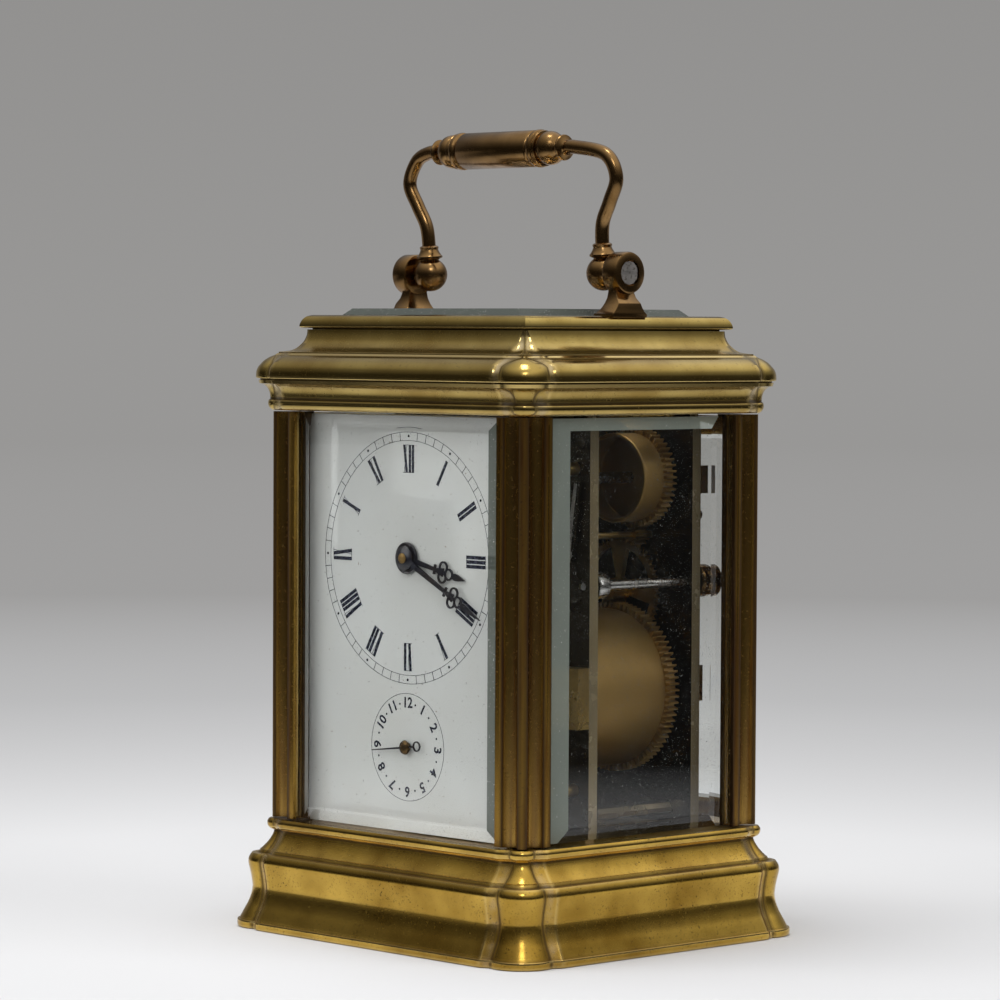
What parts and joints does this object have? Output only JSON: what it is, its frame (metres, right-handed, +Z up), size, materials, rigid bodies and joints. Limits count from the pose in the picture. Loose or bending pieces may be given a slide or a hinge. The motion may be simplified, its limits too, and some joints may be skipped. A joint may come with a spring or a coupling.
{
  "type": "travel clock",
  "caption": "Glazed brass travelling clock with an alarm: moulded base and cornice, corner pillars, bevelled glasses, folding top handle, hinged back door, geared movement.",
  "frame": {"origin": "middle of the foot of the base, on the surface the clock stands on", "axes": "+Z up, the dial faces -Y, +X to the viewer's right as the dial is read"},
  "size_m": [0.0988, 0.0892, 0.1797],
  "materials": {
    "case_brass": "dull, darkened",
    "handle_brass": "dull, darkened",
    "movement_brass": "satin",
    "steel": "satin",
    "blued_steel": "blued, polished",
    "enamel": "gloss",
    "glass": "polished"
  },
  "bodies": {
    "case": {"base_moulding": "case_brass", "base_plate": "case_brass", "pillar_front_left": "case_brass", "pillar_front_right": "case_brass", "pillar_back_left": "case_brass", "pillar_back_right": "case_brass", "cornice_moulding": "case_brass", "top_frame": "case_brass", "top_glass": "glass", "front_glass": "glass", "left_glass": "glass", "right_glass": "glass", "left_lug": "handle_brass", "right_lug": "handle_brass", "left_pivot_screw": "steel", "right_pivot_screw": "steel", "dial_plate": "enamel", "front_plate": "movement_brass", "back_plate": "movement_brass", "barrel_cock": "movement_brass", "click_plate": "movement_brass", "alarm_bell": "movement_brass", "bell_post": "steel", "back_cock": "movement_brass", "back_screw": "steel", "platform_plate": "movement_brass", "balance_cock": "movement_brass"},
    "handle": {"handle_arm_left": "handle_brass", "handle_arm_right": "handle_brass", "handle_grip": "handle_brass"},
    "door": {"door_frame": "case_brass", "door_glass": "glass"},
    "door_catch": {"door_knob": "case_brass"},
    "centre_arbor": {"centre_wheel": "movement_brass", "cannon_pinion": "steel", "minute_hand": "blued_steel"},
    "hour_pipe": {"hour_wheel": "movement_brass", "hour_hand": "blued_steel"},
    "motion_wheel": {"minute_wheel": "movement_brass"},
    "great_wheel": {"going_barrel": "movement_brass"},
    "intermediate_arbor": {"intermediate_wheel": "movement_brass"},
    "third_arbor": {"third_wheel": "movement_brass"},
    "contrate_arbor": {"contrate_wheel": "movement_brass"},
    "winding_arbor": {"barrel_arbor": "steel", "ratchet_wheel": "steel"},
    "escape_arbor": {"escape_wheel": "movement_brass"},
    "lever": {"pallet_lever": "steel"},
    "balance": {"balance_wheel": "movement_brass", "hairspring": "steel"},
    "alarm_drum": {"alarm_barrel": "movement_brass"},
    "alarm_escape_arbor": {"alarm_escape_wheel": "movement_brass"},
    "alarm_setting": {"alarm_setting_arbor": "movement_brass"},
    "alarm_pointer": {"alarm_wheel": "movement_brass", "alarm_hand": "blued_steel"},
    "stop_arbor": {"stop_knob": "handle_brass"},
    "release_lever": {"alarm_lever": "steel"},
    "hammer": {"alarm_hammer": "steel"}
  },
  "joints": [
    {"name": "handle_fold", "type": "hinge", "parent": "case", "child": "handle", "pos_m": [0, 0, 0.14785], "axis": [1, 0, 0], "range_deg": [-99.5, 90.5]},
    {"name": "door_swing", "type": "hinge", "parent": "case", "child": "door", "pos_m": [-0.03135, 0.0357, 0.0708], "axis": [0, 0, 1], "range_deg": [0, 110]},
    {"name": "door_catch_turn", "type": "hinge", "parent": "door", "child": "door_catch", "pos_m": [0.03045, 0.0367, 0.07195], "axis": [0, 1, 0], "range_deg": [0, 90]},
    {"name": "hands_turn", "type": "hinge", "parent": "case", "child": "centre_arbor", "pos_m": [0, 0.009, 0.0851], "axis": [0, 1, 0], "continuous": true},
    {"name": "hour_turn", "type": "hinge", "parent": "case", "child": "hour_pipe", "pos_m": [0, -0.0148, 0.0851], "axis": [0, 1, 0], "continuous": true},
    {"name": "motion_wheel_turn", "type": "hinge", "parent": "case", "child": "motion_wheel", "pos_m": [-0.01039, -0.0114, 0.0911], "axis": [0, 1, 0], "continuous": true},
    {"name": "intermediate_turn", "type": "hinge", "parent": "case", "child": "intermediate_arbor", "pos_m": [0.01032, 0.0226, 0.07624], "axis": [0, 1, 0], "continuous": true},
    {"name": "great_wheel_turn", "type": "hinge", "parent": "case", "child": "great_wheel", "pos_m": [0.0112, 0.0073, 0.0549], "axis": [0, 1, 0], "continuous": true},
    {"name": "third_turn", "type": "hinge", "parent": "case", "child": "third_arbor", "pos_m": [-0.00772, 0.0146, 0.09617], "axis": [0, 1, 0], "continuous": true},
    {"name": "contrate_turn", "type": "hinge", "parent": "case", "child": "contrate_arbor", "pos_m": [0, 0.0023, 0.105], "axis": [0, 1, 0], "continuous": true},
    {"name": "winding_turn", "type": "hinge", "parent": "case", "child": "winding_arbor", "pos_m": [0.0112, 0, 0.0549], "axis": [0, 1, 0], "continuous": true},
    {"name": "escape_turn", "type": "hinge", "parent": "case", "child": "escape_arbor", "pos_m": [0, 0.0052, 0.1218], "axis": [0, 0, 1], "continuous": true},
    {"name": "lever_swing", "type": "hinge", "parent": "case", "child": "lever", "pos_m": [0, 0.0106, 0.1218], "axis": [0, 0, 1], "range_deg": [-5, 5]},
    {"name": "balance_swing", "type": "hinge", "parent": "case", "child": "balance", "pos_m": [0, 0.0182, 0.1244], "axis": [0, 0, 1], "range_deg": [-220, 220], "stiffness_Nm_per_rad": 0.000012},
    {"name": "alarm_winding_turn", "type": "hinge", "parent": "case", "child": "alarm_drum", "pos_m": [0.0178, 0.018, 0.1024], "axis": [0, 1, 0], "continuous": true},
    {"name": "alarm_escape_turn", "type": "hinge", "parent": "case", "child": "alarm_escape_arbor", "pos_m": [0.0178, 0.01, 0.0895], "axis": [0, 1, 0], "continuous": true},
    {"name": "alarm_setting_turn", "type": "hinge", "parent": "case", "child": "alarm_setting", "pos_m": [-0.01188, 0.008, 0.0434], "axis": [0, 1, 0], "continuous": true},
    {"name": "alarm_hand_turn", "type": "hinge", "parent": "case", "child": "alarm_pointer", "pos_m": [0, -0.014, 0.0434], "axis": [0, 1, 0], "continuous": true},
    {"name": "stop_turn", "type": "hinge", "parent": "case", "child": "stop_arbor", "pos_m": [0.0292, 0.008, 0.0793], "axis": [0, 1, 0], "range_deg": [0, 60]},
    {"name": "release_lever_rock", "type": "hinge", "parent": "case", "child": "release_lever", "pos_m": [0.0262, -0.009, 0.0862], "axis": [0, 1, 0], "range_deg": [-1.5, 1.5]},
    {"name": "hammer_swing", "type": "hinge", "parent": "case", "child": "hammer", "pos_m": [-0.02, 0.006, 0.046], "axis": [0, 1, 0], "range_deg": [-3, 3.5]}
  ],
  "couplings": [
    {"joint": "hour_turn", "follows": "hands_turn", "ratio": 0.083333},
    {"joint": "motion_wheel_turn", "follows": "hands_turn", "ratio": -0.33333},
    {"joint": "intermediate_turn", "follows": "hands_turn", "ratio": -0.13333},
    {"joint": "great_wheel_turn", "follows": "hands_turn", "ratio": 0.019048},
    {"joint": "third_turn", "follows": "hands_turn", "ratio": -8},
    {"joint": "contrate_turn", "follows": "hands_turn", "ratio": 60},
    {"joint": "alarm_escape_turn", "follows": "alarm_winding_turn", "ratio": -5},
    {"joint": "alarm_hand_turn", "follows": "alarm_setting_turn", "ratio": -0.5}
  ]
}
